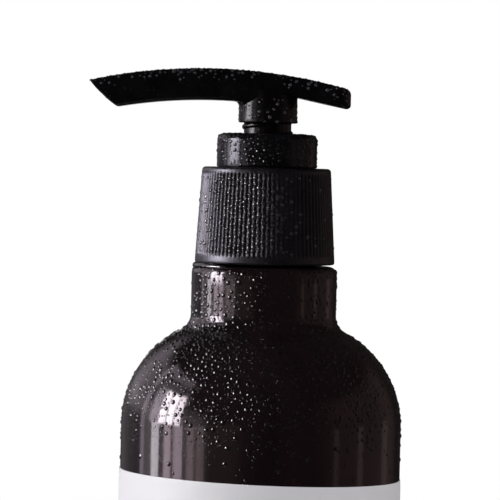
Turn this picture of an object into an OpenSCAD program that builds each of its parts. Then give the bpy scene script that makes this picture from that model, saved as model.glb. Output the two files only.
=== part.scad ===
// Pump oil bottle: a 500 ml round-shouldered bottle with a screw-on dispensing pump.
// Units are millimetres. The origin is the centre of the base, +Z runs up the bottle's axis,
// and the spout points along -X. The pump head is drawn pressed down to its lowest point.

/* [Bottle] */
// Outside diameter of the bottle's body
body_d = 68; // [56:0.5:80]
// Height of the straight body, from the table to the start of the shoulder
body_h = 124.6; // [105:0.2:160]
// Radius of the shoulder's arc
shoulder_r = 25.6; // [22:0.2:28]
// Radius of the hollow curve between the shoulder and the neck
neck_fillet_r = 4.5; // [3:0.5:7]
// Outside diameter of the plain neck below the closure
neck_d = 35.3; // [32:0.1:38]
// Height of the plain neck above its hollow curve
neck_h = 11.95; // [8:0.05:16]
// Radius of the plain neck's top edge
neck_edge_r = 2; // [1:0.25:3]
// Wall thickness of the bottle
bottle_wall = 1.2; // [0.8:0.1:2]
// Radius of the body's bottom edge
base_edge_r = 4; // [2.5:0.5:6]
// Width of the flat ring that the bottle stands on
foot_ring_w = 5; // [3:0.5:8]
// Height of the dome pushed up inside the foot ring
push_up_h = 2; // [1:0.25:4]

/* [Neck finish] */
// Diameter across the bottle's screw thread
finish_thread_d = 27.8; // [27:0.1:28.6]
// Radial depth of the screw thread
finish_thread_depth = 1.2; // [0.9:0.1:1.4]
// Rise of the screw thread in one turn
finish_pitch = 4.2333; // [3.8:0.0001:4.6]
// Height of the threaded finish above the plain neck
finish_h = 18.2; // [16:0.2:21]
// Wall thickness of the threaded finish
finish_wall = 2; // [1.5:0.1:2.4]

/* [Label] */
// Height of the wrap-round label
label_h = 88; // [60:1:92]
// Height of the label's lower edge above the table
label_z = 24.8; // [12:0.2:28]
// Thickness of the label
label_t = 0.25; // [0.15:0.05:0.5]
// Width of the bare strip between the label's ends, at the back
label_gap = 6; // [2:1:20]
// Angle by which the label is stuck on out of square, lower on the +X side, in degrees
label_skew = 1.4; // [0:0.1:2]

/* [Closure] */
// Wall thickness of the closure at its top
closure_wall = 1.3; // [0.9:0.05:2]
// How much wider the closure's radius is at its bottom than at its top
closure_flare = 1.4; // [0.4:0.1:2]
// Thickness of the closure's top
closure_top_t = 2.5; // [1.6:0.1:3.5]
// Gap between the closure's bottom edge and the bottle
closure_gap = 0.5; // [0.3:0.1:2]
// Number of grip ribs
rib_count = 90; // [60:2:110]
// Depth of the grip ribs
rib_depth = 0.35; // [0.2:0.05:0.5]
// Height of the plain band below the ribs
plain_band_h = 1.8; // [1:0.2:4]
// How far the plain bands stand proud of the rib crests
band_proud = 0.05; // [0.03:0.01:0.2]
// Height of the plain rim above the ribs
top_rim_h = 1.2; // [0.8:0.1:2]
// Radius of the closure's top edge
closure_edge_r = 0.9; // [0.4:0.1:1.1]

/* [Chaplet] */
// Height of the locking collar that stands on the closure
chaplet_h = 8.1; // [7:0.1:11]
// Radial wall of the locking collar, outside the housing's snap collar
chaplet_wall = 3.25; // [2:0.05:4.5]
// Radius of the locking collar's top edge
chaplet_edge_r = 1; // [0.5:0.25:1.75]
// How far the locking collar's sleeve reaches down into the pump, below the closure's top
sleeve_drop = 11; // [8:0.5:14]
// Wall of that sleeve outside its screw thread
sleeve_wall = 0.85; // [0.7:0.05:1.1]
// Thickness of the guide ring at the sleeve's bottom
guide_t = 2.5; // [1.5:0.25:4]

/* [Lock thread] */
// Rise of the lock thread in one turn
lock_pitch = 3; // [2.4:0.1:3.6]
// Radial depth of the lock thread
lock_depth = 0.45; // [0.4:0.05:0.8]
// Height of the head's threaded shank
lock_shank_h = 6; // [5:0.25:7]
// Height of the thread inside the locking collar
lock_socket_h = 5.5; // [4:0.25:6.5]
// Gap left between the head's skirt and the locking collar with the head down
lock_gap = 2.65; // [1.5:0.05:3.5]

/* [Pump housing] */
// Bore that the piston slides in
pump_bore_d = 14.6; // [13.6:0.1:15.6]
// Wall thickness of the housing
housing_wall = 1.2; // [0.9:0.1:1.6]
// Thickness of the housing's flange
flange_t = 1.8; // [1.2:0.1:2.6]
// Thickness of the sealing gasket
gasket_t = 1.2; // [0.8:0.1:2]
// Wall of the snap collar above the flange
snap_wall = 1.6; // [1.2:0.1:2]
// How far the snap collar reaches up into the locking collar
snap_h = 4.5; // [3.5:0.25:5.5]
// Radius of the snap bead round the snap collar
snap_bead_r = 0.4; // [0.25:0.05:0.6]
// Diameter of the air vent through the housing's side
vent_d = 1; // [0.6:0.1:1.6]

/* [Piston and valve] */
// Full stroke of the pump head
stroke = 16; // [10:0.5:20]
// Lost motion of the piston on the valve rod, which opens and shuts the outlet
valve_float = 1.2; // [0.6:0.1:2]
// Height of the piston's outer skirt
piston_h = 9; // [7:0.5:12]
// Thickness of the piston's outer skirt
piston_wall = 1.05; // [0.8:0.05:1.3]
// Outside diameter of the stem
stem_d = 8; // [7.4:0.1:8.6]
// Wall thickness of the stem
stem_wall = 1.6; // [1.3:0.1:1.9]
// Diameter across the valve rod's fluted shank
shank_d = 6.3; // [5.9:0.1:6.7]
// Thickness of the valve rod's flutes
flute_t = 1.4; // [1:0.1:2]
// How far the valve rod is pushed into the stem
spigot_h = 8; // [5:0.5:12]
// Wall of the piston's hub
hub_wall = 1.4; // [1.1:0.1:1.7]
// Height of the piston's hub
hub_h = 5.5; // [4.5:0.25:6.5]
// Thickness of the valve rod's seal disc and of its spring flange
disc_t = 1.2; // [0.8:0.1:2]
// Length of the spring guide below the spring flange
spring_guide_h = 8; // [4:0.5:11]

/* [Spring] */
// Diameter of the spring's wire
wire_d = 0.9; // [0.7:0.1:1.1]
// Number of turns in the spring
spring_turns = 7.5; // [5.5:0.5:9.5]
// Length of the spring with the head down
spring_down_l = 13.85; // [12.5:0.25:18]
// Gap between the spring and the housing's bore
spring_side_gap = 1.65; // [1:0.05:2]

/* [Inlet valve] */
// Diameter of the inlet ball
ball_d = 4; // [3.4:0.1:4.6]
// Height that the ball can lift off its seat
ball_lift = 1.5; // [0.8:0.1:2.5]
// Length of the socket that holds the dip tube
tube_socket_h = 9; // [6:0.5:12]
// Wall of that socket
tube_socket_wall = 1.6; // [1.2:0.1:2.2]

/* [Dip tube] */
// Outside diameter of the dip tube
tube_d = 6; // [5:0.25:7]
// Wall thickness of the dip tube
tube_wall = 1; // [0.6:0.1:1.4]
// Gap between the dip tube and the bottle's floor
tube_floor_gap = 3; // [1.5:0.5:8]

/* [Pump head] */
// Reach of the spout's tip from the bottle's axis
spout_reach = 43.4; // [34:0.2:55]
// Reach of the head's tail from the bottle's axis
tail_reach = 20; // [15:0.5:24]
// Height of the head's highest point above the bottom of its skirt
head_h = 12.85; // [11.5:0.05:16]
// Radius of the arc along the head's top
blade_r = 129.6; // [95:0.2:180]
// Distance of that arc's highest point from the bottle's axis, towards the spout
blade_apex = 14; // [4:0.5:20]
// Thickness of the head's blade
blade_t = 7.6; // [6.6:0.1:8.4]
// Width of the blade over the stem
blade_w = 13.4; // [12:0.2:16]
// Width of the spout's tip
tip_w = 8.6; // [7:0.2:12]
// Radius of the blade's long edges
blade_edge_r = 1.5; // [0.8:0.1:2.5]
// Radius of the tail's corners, seen from above
tail_corner_r = 3; // [1.5:0.25:5]
// Slope of the spout's end face, in degrees below level
tip_slope = 39.6; // [30:0.2:55]
// Slope of the tail's underside, in degrees below level
tail_slope = 11.3; // [6:0.1:14]
// Thickness of the tail at its end
tail_t = 4.7; // [3.5:0.1:6]
// How much wider the skirt's radius is than the lock thread
skirt_step = 0.9; // [0.6:0.1:2]
// Radius of the hollow curve between the skirt and the spout
skirt_fillet_r = 1.2; // [0.5:0.1:2.5]
// Diameter of the oil passage
passage_d = 3.4; // [2.4:0.1:4]
// Bore that rises from the stem socket into the oil passage
riser_d = 3; // [2:0.1:3.2]

/* [Fits] */
// Radial clearance of the stem in its guide ring and of the piston in its bore
slide_clear = 0.05; // [0.02:0.01:0.1]
// Radial clearance of the head on the stem
turn_clear = 0.03; // [0.01:0.01:0.08]
// Gap between faces that turn or stop against each other
face_gap = 0.05; // [0.02:0.01:0.15]
// Radial clearance of the closure round the snap collar
collar_clear = 0.15; // [0.05:0.05:0.3]
// Radial and flank clearance of the closure's thread
thread_clear = 0.4; // [0.3:0.05:0.5]
// Gap between the thread flanks that carry the load
flank_gap = 0.12; // [0.08:0.02:0.2]

/* [Hidden] */
$fn = 96;
eps = 0.01;

// Colours
plum_black = "#1d1418";
pump_black = "#161517";
label_white = "#e9e8ec";
natural_pp = "#e4e2db";
foam_white = "#f1efe9";
steel = "#b9bcc0";

// Bottle, worked out from the driving sizes
body_rad = body_d / 2;
neck_rad = neck_d / 2;
shoulder_cx = body_rad - shoulder_r;
fillet_cx = neck_rad + neck_fillet_r;
arc_gap = shoulder_r + neck_fillet_r;
fillet_cz = body_h + sqrt(pow(arc_gap, 2) - pow(fillet_cx - shoulder_cx, 2));
neck_top_z = fillet_cz + neck_h;
dome_chord = body_rad - base_edge_r - foot_ring_w;
dome_r = (pow(dome_chord, 2) + pow(push_up_h, 2)) / (2 * push_up_h);
dome_cz = push_up_h - dome_r;
floor_z = push_up_h + bottle_wall;

// Neck finish
finish_top_z = neck_top_z + finish_h;
thread_r = finish_thread_d / 2;
finish_r = thread_r - finish_thread_depth;
finish_bore_r = finish_r - finish_wall;
thread_foot_w = 1.9;
thread_crest_w = 0.9;
thread_turns = 1.75;
thread_top_drop = 2.2;
male_top_z = finish_top_z - thread_top_drop;
male_z = male_top_z - thread_turns * finish_pitch;

// Housing, gasket and closure stack
bore_r = pump_bore_d / 2;
barrel_r = bore_r + housing_wall;
snap_r = bore_r + snap_wall;
flange_z = finish_top_z + gasket_t;
flange_top_z = flange_z + flange_t;
flange_r = finish_r - 0.4;
closure_top_z = flange_top_z + face_gap + closure_top_t;
closure_z = neck_top_z + closure_gap;
closure_h = closure_top_z - closure_z;
closure_bore_r = thread_r + thread_clear;
closure_top_r = closure_bore_r + closure_wall;
closure_bottom_r = closure_top_r + closure_flare;
female_crest_r = finish_r + thread_clear;
// The closure's thread pulls up against the underside of the bottle's thread.
flank_rise = (thread_foot_w - thread_crest_w) / 2 / finish_thread_depth;
ridge_halves = thread_foot_w - flank_rise * thread_clear;
female_drop = ridge_halves / 2 + thread_crest_w / 2 + flank_gap;
female_low_z = closure_z + 2.2;

// Locking collar
chaplet_z = closure_top_z + face_gap;
chaplet_top_z = chaplet_z + chaplet_h;
chaplet_r = snap_r + chaplet_wall;
sleeve_z = closure_top_z - sleeve_drop;
snap_top_z = chaplet_z + snap_h;
snap_bead_z = snap_top_z - 1.2;

// Pump head
skirt_z = chaplet_top_z + lock_gap;
head_z = skirt_z - lock_shank_h;
lock_socket_r = bore_r - sleeve_wall;
lock_clear = 0.25;
lock_crest_r = lock_socket_r - lock_clear;
lock_root_r = lock_crest_r - lock_depth;
skirt_r = lock_crest_r + skirt_step;
blade_top_z = skirt_z + head_h;
blade_cz = blade_top_z - blade_r;
blade_mid_r = blade_r - blade_t / 2;
tail_x = tail_reach + blade_apex;
tail_top_z = blade_cz + sqrt(pow(blade_r, 2) - pow(tail_x, 2));
tip_x = spout_reach - blade_apex;
tip_top_z = blade_cz + sqrt(pow(blade_r, 2) - pow(tip_x, 2));
passage_z = blade_cz + sqrt(pow(blade_mid_r, 2) - pow(blade_apex, 2));
under_z = blade_cz + sqrt(pow(blade_r - blade_t, 2) - pow(blade_apex - skirt_r, 2));
socket_top_z = passage_z - passage_d / 2 - 1;

// Moving parts, with the head down
stem_r = stem_d / 2;
stem_bore_r = stem_r - stem_wall;
stem_top_z = socket_top_z - face_gap;
piston_top_z = sleeve_z - face_gap - stroke;
piston_z = piston_top_z - piston_h;
piston_r = bore_r - slide_clear;
hub_bore_r = shank_d / 2 + slide_clear;
hub_r = hub_bore_r + hub_wall;
hub_top_z = piston_top_z - 1.9;
hub_z = hub_top_z - hub_h;
web_t = 1.6;
stem_z = hub_top_z + face_gap;
seal_top_z = hub_z - valve_float - face_gap;
spring_flange_z = min(seal_top_z - 2 * disc_t, piston_z - 0.6 - disc_t);

// Spring, inlet valve and dip tube
wire_r = wire_d / 2;
coil_r = bore_r - spring_side_gap - wire_r;
spring_flange_r = coil_r + wire_r + 0.25;
spring_z = spring_flange_z - spring_down_l;
ball_r = ball_d / 2;
bead_r = ball_r - 0.15;
bead_t = 0.8;
bead_z = spring_z - bead_t;
ball_z = bead_z - sqrt(pow(ball_r, 2) - pow(bead_r, 2)) - face_gap - ball_lift;
seat_apex_z = ball_z - (ball_r + face_gap) * sqrt(2);
chamber_r = ball_r + 0.5;
throat_r = ball_r - 0.8;
tube_r = tube_d / 2;
tube_top_z = seat_apex_z + throat_r - 1.5;
tube_z = floor_z + tube_floor_gap;
nozzle_r = max(tube_r, chamber_r) + tube_socket_wall;
nozzle_z = tube_top_z - tube_socket_h;

// A rectangle from [x0, y0] to [x1, y1].
module rect(x0, y0, x1, y1) {
    translate([x0, y0])
        square([x1 - x0, y1 - y0]);
}

// A ring of rectangular section.
module ring(r_in, r_out, z0, z1) {
    rotate_extrude()
        rect(r_in, z0, r_out, z1);
}

// A screw-thread ridge that fades into its wall at both ends. It winds round r_wall,
// from angle a0 to angle a1, and its foot is centred at height z for angle 0.
module thread_ridge(r_wall, r_crest, foot_w, crest_w, pitch, z, a0, a1, seg) {
    side = r_crest > r_wall ? 1 : -1;
    depth = abs(r_crest - r_wall);
    sink = 0.3;
    dive = 0.12;
    fade = 40;
    steps = ceil((a1 - a0) / seg);
    function at(i) = a0 + (a1 - a0) * i / steps;
    function full(a) = min(1, (a - a0) / fade, (a1 - a) / fade);
    function ring_at(a) = let (
            f = full(a),
            rc = r_wall + side * (f * (depth + dive) - dive),
            rs = r_wall - side * sink,
            zc = z + pitch * a / 360,
            hc = crest_w / 2,
            slope = (foot_w - crest_w) / 2 / depth,
            hs = hc + slope * abs(rc - rs))
        [[rs, zc - hs], [rc, zc - hc], [rc, zc + hc], [rs, zc + hs]];
    pts = [for (i = [0:steps]) let (a = at(i)) for (p = ring_at(a))
        [p[0] * cos(a), p[0] * sin(a), p[1]]];
    quads = [for (i = [0:steps - 1], k = [0:3])
        let (p = 4 * i + k, q = 4 * i + (k + 1) % 4)
        side > 0 ? [p, q, q + 4, p + 4] : [p + 4, q + 4, q, p]];
    first = side > 0 ? [3, 2, 1, 0] : [0, 1, 2, 3];
    last = [for (k = first) 4 * steps + 3 - k];
    polyhedron(points = pts, faces = concat(quads, [first, last]), convexity = 8);
}

// The bottle's outline as a half profile, drawn in by t on the inside of its wall.
module bottle_profile(t) {
    r = body_rad - t;
    edge = base_edge_r - t;
    arc_r = shoulder_r - t;
    fillet_r = neck_fillet_r + t;
    join = arc_r / (arc_r + fillet_r);
    join_x = shoulder_cx + (fillet_cx - shoulder_cx) * join;
    join_z = body_h + (fillet_cz - body_h) * join;
    union() {
        rect(0, t, r - edge, body_h);
        rect(0, t + edge, r, body_h);
        translate([r - edge, t + edge])
            circle(edge);
        rect(0, body_h - eps, max(shoulder_cx, eps), join_z);
        intersection() {
            translate([shoulder_cx, body_h])
                circle(arc_r);
            rect(0, body_h - eps, r + 1, join_z);
        }
        difference() {
            polygon([[0, join_z - eps], [join_x, join_z - eps], [join_x, join_z],
                [fillet_cx, fillet_cz], [0, fillet_cz]]);
            translate([fillet_cx, fillet_cz])
                circle(fillet_r);
        }
    }
}

module bottle() {
    color(plum_black) {
        difference() {
            rotate_extrude() {
                union() {
                    difference() {
                        bottle_profile(0);
                        translate([0, dome_cz])
                            circle(dome_r, $fn = 720);
                    }
                    rect(0, fillet_cz - eps, neck_rad, neck_top_z - neck_edge_r);
                    rect(0, fillet_cz - eps, neck_rad - neck_edge_r, neck_top_z);
                    translate([neck_rad - neck_edge_r, neck_top_z - neck_edge_r])
                        circle(neck_edge_r);
                    rect(0, fillet_cz, finish_r, finish_top_z);
                }
            }
            rotate_extrude() {
                union() {
                    difference() {
                        bottle_profile(bottle_wall);
                        translate([0, dome_cz])
                            circle(dome_r + bottle_wall, $fn = 720);
                    }
                    rect(0, fillet_cz - eps, neck_rad - bottle_wall,
                        neck_top_z - neck_edge_r - bottle_wall);
                    rect(0, fillet_cz, finish_bore_r, finish_top_z + 1);
                }
            }
        }
        thread_ridge(finish_r, thread_r, thread_foot_w, thread_crest_w,
            finish_pitch, male_z, 0, 360 * thread_turns, 10);
    }
}

module label() {
    mid_z = label_z + label_h / 2;
    big = 2 * body_d;
    color(label_white)
        difference() {
            intersection() {
                ring(body_rad, body_rad + label_t, label_z - body_rad, label_z + label_h + body_rad);
                translate([0, 0, mid_z])
                    rotate([0, label_skew, 0])
                        cube([big, big, label_h], center = true);
            }
            translate([-label_gap / 2, 0, 0])
                cube([label_gap, big, big + label_h]);
        }
}

// Radius of the closure's outside at height z.
function closure_r(z) = closure_bottom_r
    - closure_flare * (z - closure_z) / closure_h;

// The grip ribs, as one tapered star.
module closure_ribs(z0, z1) {
    step = 360 / rib_count;
    r = closure_r(z0);
    marks = [[0, -rib_depth], [0.3, -rib_depth], [0.5, 0], [0.8, 0]];
    translate([0, 0, z0])
        linear_extrude(height = z1 - z0, scale = closure_r(z1) / r)
            polygon([for (i = [0:rib_count - 1], m = marks)
                let (a = (i + m[0]) * step)
                (r + m[1]) * [cos(a), sin(a)]]);
}

module closure() {
    rib_z = closure_z + plain_band_h;
    rim_z = closure_top_z - top_rim_h;
    foot_r = closure_r(rib_z) + band_proud;
    rim_r = closure_r(rim_z) + band_proud;
    edge = min(closure_edge_r, top_rim_h);
    band_edge = 0.5;
    band_lap = 0.3;
    snap_hole_r = snap_r + collar_clear;
    low_a = 360 * (female_low_z - male_z + female_drop) / finish_pitch;
    high_a = 360 * (flange_z - 2 - male_z + female_drop) / finish_pitch;
    color(pump_black) {
        difference() {
            union() {
                rotate_extrude()
                    union() {
                        rect(0, closure_z, foot_r - band_edge, rib_z);
                        rect(0, closure_z + band_edge, foot_r, rib_z);
                        translate([foot_r - band_edge, closure_z + band_edge])
                            circle(band_edge);
                    }
                closure_ribs(rib_z - band_lap, rim_z + band_lap);
                rotate_extrude()
                    union() {
                        rect(0, rim_z, rim_r, closure_top_z - edge);
                        rect(0, rim_z, rim_r - edge, closure_top_z);
                        translate([rim_r - edge, closure_top_z - edge])
                            circle(edge);
                    }
            }
            translate([0, 0, closure_z - 1])
                cylinder(r = closure_bore_r, h = closure_h - closure_top_t + 1);
            cylinder(r = snap_hole_r, h = closure_top_z + 1);
        }
        thread_ridge(closure_bore_r, female_crest_r, thread_foot_w, thread_crest_w,
            finish_pitch, male_z - female_drop, low_a, high_a, 10);
    }
}

module gasket() {
    color(foam_white)
        ring(barrel_r, flange_r, finish_top_z, flange_z);
}

module housing() {
    cone_z = bead_z - barrel_r + nozzle_r;
    color(natural_pp)
        difference() {
            rotate_extrude()
                union() {
                    // tube socket, cone, barrel, flange and snap collar with its bead
                    polygon([[0, nozzle_z], [nozzle_r, nozzle_z], [nozzle_r, cone_z],
                        [barrel_r, bead_z], [barrel_r, flange_z], [flange_r, flange_z],
                        [flange_r, flange_top_z], [snap_r, flange_top_z],
                        [snap_r, snap_top_z], [0, snap_top_z]]);
                    translate([snap_r, snap_bead_z])
                        circle(snap_bead_r);
                }
            rotate_extrude()
                // tube socket, throat, conical seat, ball chamber, retaining bead and pump bore
                polygon([[0, nozzle_z - 1], [tube_r, nozzle_z - 1], [tube_r, tube_top_z],
                    [throat_r, tube_top_z], [throat_r, seat_apex_z + throat_r],
                    [chamber_r, seat_apex_z + chamber_r], [chamber_r, bead_z],
                    [bead_r, bead_z], [bead_r, spring_z], [bore_r, spring_z],
                    [bore_r, snap_top_z + 1], [0, snap_top_z + 1]]);
            // air vent, just below the sleeve
            translate([0, 0, sleeve_z - vent_d])
                rotate([0, 90, 0])
                    cylinder(d = vent_d, h = barrel_r + 1);
        }
}

module chaplet() {
    socket_z = head_z - 0.3 - lock_socket_h;
    edge = chaplet_edge_r;
    ridge_w = lock_pitch * 0.5;
    color(pump_black) {
        difference() {
            rotate_extrude()
                union() {
                    rect(0, chaplet_z, chaplet_r, chaplet_top_z - edge);
                    rect(0, chaplet_z, chaplet_r - edge, chaplet_top_z);
                    translate([chaplet_r - edge, chaplet_top_z - edge])
                        circle(edge);
                    rect(0, sleeve_z, bore_r, chaplet_z + eps);
                }
            rotate_extrude()
                union() {
                    // slot for the snap collar and its bead
                    rect(bore_r, chaplet_z - 1, snap_r, snap_top_z);
                    translate([snap_r, snap_bead_z])
                        circle(snap_bead_r + face_gap);
                    // threaded socket, clearance below it and the guide bore
                    rect(0, socket_z, lock_socket_r, chaplet_top_z + 1);
                    rect(0, sleeve_z + guide_t, lock_root_r + lock_clear, socket_z + eps);
                    rect(0, sleeve_z - 1, stem_r + slide_clear, sleeve_z + guide_t + eps);
                }
        }
        thread_ridge(lock_socket_r, lock_root_r + lock_clear, ridge_w, ridge_w * 0.45,
            lock_pitch, socket_z + ridge_w, 0,
            360 * (lock_socket_h - 2 * ridge_w) / lock_pitch, 15);
    }
}

// Height of the spring's wire centre after t turns: close end turns, open ones between.
function coil_rise(t) = let (
        dead = 1,
        shut = dead * (wire_d + 0.06),
        live = spring_turns - 2 * dead,
        open = spring_down_l - wire_d - 2 * shut)
    t < dead ? t * shut / dead
        : t < dead + live ? shut + open * (t - dead) / live
        : shut + open + (t - dead - live) * shut / dead;

module return_spring() {
    seg = 16;
    sides = 6;
    steps = floor(spring_turns * seg);
    pts = [for (i = [0:steps], k = [0:sides - 1])
        let (a = 360 * i / seg, b = 360 * k / sides + 90,
            r = coil_r + wire_r * cos(b),
            z = spring_z + wire_r + coil_rise(i / seg) + wire_r * sin(b))
        [r * cos(a), r * sin(a), z]];
    quads = [for (i = [0:steps - 1], k = [0:sides - 1])
        let (p = sides * i + k, q = sides * i + (k + 1) % sides)
        [p, q, q + sides, p + sides]];
    first = [for (k = [0:sides - 1]) sides - 1 - k];
    last = [for (k = [0:sides - 1]) sides * steps + k];
    color(steel)
        polyhedron(points = pts, faces = concat(quads, [first, last]), convexity = 12);
}

module inlet_ball() {
    color(steel)
        translate([0, 0, ball_z])
            sphere(r = ball_r);
}

module dip_tube() {
    cut = 2 * tube_d;
    color(natural_pp)
        difference() {
            translate([0, 0, tube_z])
                cylinder(r = tube_r, h = tube_top_z - tube_z);
            translate([0, 0, tube_z - 1])
                cylinder(r = tube_r - tube_wall, h = tube_top_z - tube_z + 2);
            // the lower end is cut off at a slant, so that it can't seal against the floor
            translate([-tube_r, 0, tube_z])
                rotate([0, -35, 0])
                    translate([-cut, -cut, -2 * cut])
                        cube([3 * cut, 2 * cut, 2 * cut]);
        }
}

module stem() {
    color(natural_pp)
        ring(stem_bore_r, stem_r, stem_z, stem_top_z);
}

// A four-vaned rod: oil runs between its vanes.
module fluted_rod(r, z0, z1) {
    intersection() {
        translate([0, 0, z0])
            cylinder(r = r, h = z1 - z0);
        for (a = [0, 90])
            rotate([0, 0, a])
                translate([-r - 1, -flute_t / 2, z0])
                    cube([2 * r + 2, flute_t, z1 - z0]);
    }
}

module valve_rod() {
    notch_r = 0.9;
    color(natural_pp) {
        fluted_rod(stem_bore_r, stem_z - eps, stem_z + spigot_h);
        fluted_rod(shank_d / 2, seal_top_z - eps, stem_z);
        translate([0, 0, seal_top_z - disc_t])
            cylinder(r = hub_r, h = disc_t);
        translate([0, 0, spring_flange_z + eps])
            cylinder(r = hub_bore_r, h = seal_top_z - disc_t - spring_flange_z);
        difference() {
            translate([0, 0, spring_flange_z])
                cylinder(r = spring_flange_r, h = disc_t);
            for (a = [45:90:315])
                rotate([0, 0, a])
                    translate([spring_flange_r, 0, spring_flange_z - 1])
                        cylinder(r = notch_r, h = disc_t + 2);
        }
        translate([0, 0, spring_flange_z - spring_guide_h])
            cylinder(r = hub_bore_r, h = spring_guide_h + eps);
    }
}

module piston() {
    lip_h = 1.6;
    lip_relief = 0.25;
    in_r = piston_r - piston_wall;
    web_z = hub_z + (hub_h - web_t) / 2;
    color(foam_white)
        rotate_extrude()
            union() {
                // outer skirt, relieved between its two sealing lips
                rect(in_r, piston_z, piston_r, piston_z + lip_h);
                rect(in_r, piston_z + lip_h - eps, piston_r - lip_relief, piston_top_z - lip_h + eps);
                rect(in_r, piston_top_z - lip_h, piston_r, piston_top_z);
                // web and hub
                rect(hub_bore_r, web_z, in_r + eps, web_z + web_t);
                rect(hub_bore_r, hub_z, hub_r, hub_top_z);
            }
}

// Section of the blade: thickness along x, measured from the arc's centre, width along y.
module blade_section() {
    e = blade_edge_r;
    r0 = blade_r - blade_t;
    w = blade_w / 2;
    union() {
        rect(r0, -w + e, blade_r, w - e);
        rect(r0 + e, -w, blade_r - e, w);
        for (x = [r0 + e, blade_r - e], y = [-w + e, w - e])
            translate([x, y])
                circle(e);
    }
}

// The blade's outline from above.
module blade_plan() {
    w = blade_w / 2;
    c = tail_corner_r;
    union() {
        polygon([[-spout_reach, -tip_w / 2], [-skirt_r, -w], [0, -w], [0, w],
            [-skirt_r, w], [-spout_reach, tip_w / 2]]);
        rect(-eps, -w, tail_reach - c, w);
        rect(-eps, -w + c, tail_reach, w - c);
        for (y = [-w + c, w - c])
            translate([tail_reach - c, y])
                circle(c);
    }
}

// Sweeps its child, placed at its distance from the arc's centre, along the blade's arc
// from angle a0 to angle a1.
module along_blade(a0, a1) {
    translate([-blade_apex, 0, blade_cz])
        rotate([90, 0, 0])
            rotate_extrude(start = a0, angle = a1 - a0)
                children();
}

module blade() {
    tail_end = 90 - asin(tail_x / blade_r) - 3;
    spout_end = 90 + asin(tip_x / blade_r) + 3;
    cut = spout_reach;
    difference() {
        intersection() {
            along_blade(tail_end, spout_end)
                blade_section();
            translate([0, 0, skirt_z])
                linear_extrude(height = 2 * head_h)
                    blade_plan();
        }
        // the spout's end face
        translate([-spout_reach, 0, tip_top_z - 0.5])
            rotate([0, tip_slope, 0])
                translate([-cut, -cut, -cut])
                    cube([3 * cut, 2 * cut, cut]);
        // the tail's underside
        translate([tail_reach, 0, tail_top_z - tail_t])
            rotate([0, tail_slope, 0])
                translate([-tail_reach, -cut, -cut])
                    cube([2 * tail_reach, 2 * cut, cut]);
    }
}

// The hollow curve between the skirt and the underside of the spout.
module skirt_fillet() {
    f = skirt_fillet_r;
    intersection() {
        rotate_extrude(start = 90, angle = 180)
            difference() {
                rect(skirt_r - 1, under_z - f, skirt_r + f, under_z + 0.5);
                translate([skirt_r + f, under_z - f])
                    circle(f);
            }
        translate([0, 0, skirt_z])
            linear_extrude(height = 2 * head_h)
                blade_plan();
    }
}

module head() {
    ridge_w = lock_pitch * 0.5;
    passage_end = 90 + asin(tip_x / blade_r) + 4;
    passage_start = 90 - asin((blade_apex + riser_d) / blade_mid_r);
    color(pump_black) {
        difference() {
            union() {
                blade();
                skirt_fillet();
                translate([0, 0, skirt_z])
                    cylinder(r = skirt_r, h = passage_z - skirt_z);
                translate([0, 0, head_z])
                    cylinder(r = lock_root_r, h = lock_shank_h + eps);
            }
            // socket on the stem, then the oil passage up and out to the spout
            translate([0, 0, head_z - 1])
                cylinder(r = stem_r + turn_clear, h = socket_top_z - head_z + 1);
            translate([0, 0, socket_top_z - eps])
                cylinder(d = riser_d, h = passage_z - socket_top_z);
            along_blade(passage_start, passage_end)
                translate([blade_mid_r, 0])
                    circle(d = passage_d);
        }
        thread_ridge(lock_root_r, lock_crest_r, ridge_w, ridge_w * 0.45,
            lock_pitch, head_z + ridge_w * 0.6, 0,
            360 * (lock_shank_h - ridge_w) / lock_pitch, 15);
    }
}

bottle();
label();
closure();
gasket();
housing();
chaplet();
return_spring();
inlet_ball();
dip_tube();
stem();
valve_rod();
piston();
head();
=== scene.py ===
import math

import bmesh
import bpy
import numpy as np
from mathutils import Matrix, Vector


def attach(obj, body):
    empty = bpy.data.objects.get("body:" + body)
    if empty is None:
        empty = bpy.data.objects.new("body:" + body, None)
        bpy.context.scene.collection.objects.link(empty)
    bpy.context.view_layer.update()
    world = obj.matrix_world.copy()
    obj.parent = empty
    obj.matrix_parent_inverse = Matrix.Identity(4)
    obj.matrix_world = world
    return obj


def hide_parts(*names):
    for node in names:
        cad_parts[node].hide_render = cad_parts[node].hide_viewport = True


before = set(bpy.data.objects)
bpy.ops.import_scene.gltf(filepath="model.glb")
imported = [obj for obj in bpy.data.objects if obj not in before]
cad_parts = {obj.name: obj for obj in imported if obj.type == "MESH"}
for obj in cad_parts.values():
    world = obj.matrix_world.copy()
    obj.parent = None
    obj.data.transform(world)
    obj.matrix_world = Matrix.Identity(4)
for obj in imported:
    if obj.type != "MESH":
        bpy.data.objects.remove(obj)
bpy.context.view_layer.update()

MM = 0.001
SCENE = bpy.context.scene

# -------- camera
EYE, AIM = (-3.6, -900.0, 191.0), (-3.6, 0.0, 167.0)  # mm
LENS, SENSOR, ROLL = 267.0, 36.0, 1.3  # mm, mm, degrees
NEAR, FAR = 0.05, 20.0  # m


def aimed(name, data, eye, aim, roll=0.0):
    """An object for a camera or a lamp, placed at eye and pointed at aim. Metres and degrees."""
    obj = bpy.data.objects.new(name, data)
    SCENE.collection.objects.link(obj)
    turn = (aim - eye).to_track_quat("-Z", "Y").to_matrix().to_4x4()
    obj.matrix_world = Matrix.Translation(eye) @ turn @ Matrix.Rotation(math.radians(roll), 4, "Z")
    return obj


def add_camera():
    data = bpy.data.cameras.new("camera")
    data.lens = LENS
    data.sensor_width = SENSOR
    data.clip_start = NEAR
    data.clip_end = FAR
    SCENE.camera = aimed("camera", data, Vector(EYE) * MM, Vector(AIM) * MM, ROLL)


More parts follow.
